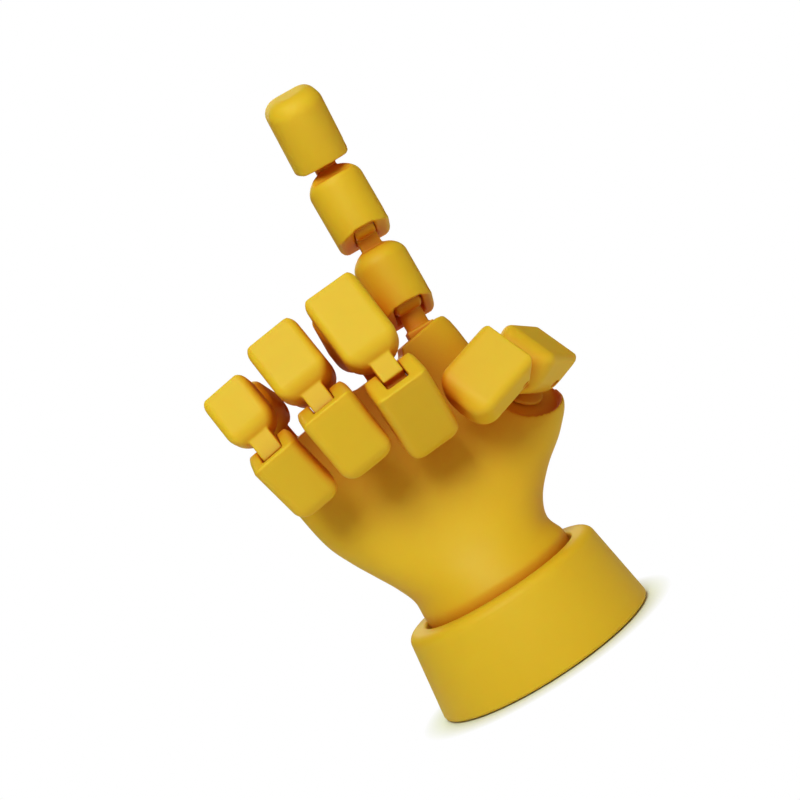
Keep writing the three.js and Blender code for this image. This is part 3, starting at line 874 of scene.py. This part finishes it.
# Solids that stay as they are get their finish
finishes = {
    "plastic": yellowPlastic,
    "rubber": darkRubber,
    "steel": platedSteel,
    "brass": turnedBrass,
    "nylon": plainNylon,
}
for subpart in frame["record"]["subparts"]:
    solid = frame["nodes"][subpart["node"]]
    solid.data.materials.clear()
    solid.data.materials.append(finishes[subpart["material_slot"]])
print("solids finished")

# Floor and light
stageLook = {
    "floorHalf": 3.0,
    "floorColor": (0.86, 0.86, 0.86),
    "floorRoughness": 0.9,
    # the camera sees the floor turn white between these distances from the stand's axis
    "whiteFrom": 0.041,
    "whiteBy": 0.05,
    "worldColor": (1.0, 0.62, 0.34),
    "worldStrength": 0.23,
    "lampAim": (0.0, 0.0, 0.1),
}
lamps = [
    {"name": "keyLamp", "place": (-0.17, -0.83, 0.8), "size": 0.55, "power": 10.9, "color": (0.79, 1.0, 0.8)},
    {"name": "backLamp", "place": (0.0, 0.8, 0.65), "size": 0.6, "power": 3.8, "color": (0.87, 1.0, 0.82)},
    {"name": "fillLamp", "place": (0.75, -0.8, 0.3), "size": 0.9, "power": 0.7, "color": (1.0, 0.6, 0.34)},
]


def addFloor(look):
    half = look["floorHalf"]
    corners = [(-half, -half, 0), (half, -half, 0), (half, half, 0), (-half, half, 0)]
    floor = meshPiece("floor", corners, [(0, 1, 2, 3)])
    material = bpy.data.materials.new("paleFloor")
    material.use_nodes = True
    nodes = material.node_tree.nodes
    links = material.node_tree.links
    matt = nodes["Principled BSDF"]
    matt.inputs["Base Color"].default_value = (*look["floorColor"], 1.0)
    matt.inputs["Roughness"].default_value = look["floorRoughness"]
    where = nodes.new("ShaderNodeTexCoord")
    away = nodes.new("ShaderNodeVectorMath")
    away.operation = "LENGTH"
    links.new(where.outputs["Object"], away.inputs[0])
    fade = nodes.new("ShaderNodeMapRange")
    fade.inputs["From Min"].default_value = look["whiteFrom"]
    fade.inputs["From Max"].default_value = look["whiteBy"]
    links.new(away.outputs["Value"], fade.inputs["Value"])
    ray = nodes.new("ShaderNodeLightPath")
    seen = nodes.new("ShaderNodeMath")
    seen.operation = "MULTIPLY"
    links.new(fade.outputs["Result"], seen.inputs[0])
    links.new(ray.outputs["Is Camera Ray"], seen.inputs[1])
    white = nodes.new("ShaderNodeEmission")
    white.inputs["Color"].default_value = (1, 1, 1, 1)
    mix = nodes.new("ShaderNodeMixShader")
    links.new(seen.outputs["Value"], mix.inputs[0])
    links.new(matt.outputs["BSDF"], mix.inputs[1])
    links.new(white.outputs["Emission"], mix.inputs[2])
    links.new(mix.outputs["Shader"], nodes["Material Output"].inputs["Surface"])
    floor.data.materials.append(material)


def addWorld(look):
    world = bpy.data.worlds.new("studio")
    bpy.context.scene.world = world
    world.use_nodes = True
    nodes = world.node_tree.nodes
    links = world.node_tree.links
    soft = nodes["Background"]
    soft.inputs["Color"].default_value = (*look["worldColor"], 1.0)
    soft.inputs["Strength"].default_value = look["worldStrength"]
    white = nodes.new("ShaderNodeBackground")
    white.inputs["Color"].default_value = (1, 1, 1, 1)
    ray = nodes.new("ShaderNodeLightPath")
    mix = nodes.new("ShaderNodeMixShader")
    links.new(ray.outputs["Is Camera Ray"], mix.inputs[0])
    links.new(soft.outputs["Background"], mix.inputs[1])
    links.new(white.outputs["Background"], mix.inputs[2])
    links.new(mix.outputs["Shader"], nodes["World Output"].inputs["Surface"])


def addLamp(lamp, aim):
    data = bpy.data.lights.new(lamp["name"], "AREA")
    data.shape = "DISK"
    data.size = lamp["size"]
    data.energy = lamp["power"]
    data.color = lamp["color"]
    light = bpy.data.objects.new(lamp["name"], data)
    ahead = Vector(aim) - Vector(lamp["place"])
    turn = ahead.to_track_quat("-Z", "Y").to_matrix().to_4x4()
    light.matrix_world = Matrix.Translation(lamp["place"]) @ turn
    bpy.context.scene.collection.objects.link(light)


addFloor(stageLook)
addWorld(stageLook)
for lamp in lamps:
    addLamp(lamp, stageLook["lampAim"])
bpy.context.scene.view_settings.view_transform = "Standard"
print("floor and lamps placed")
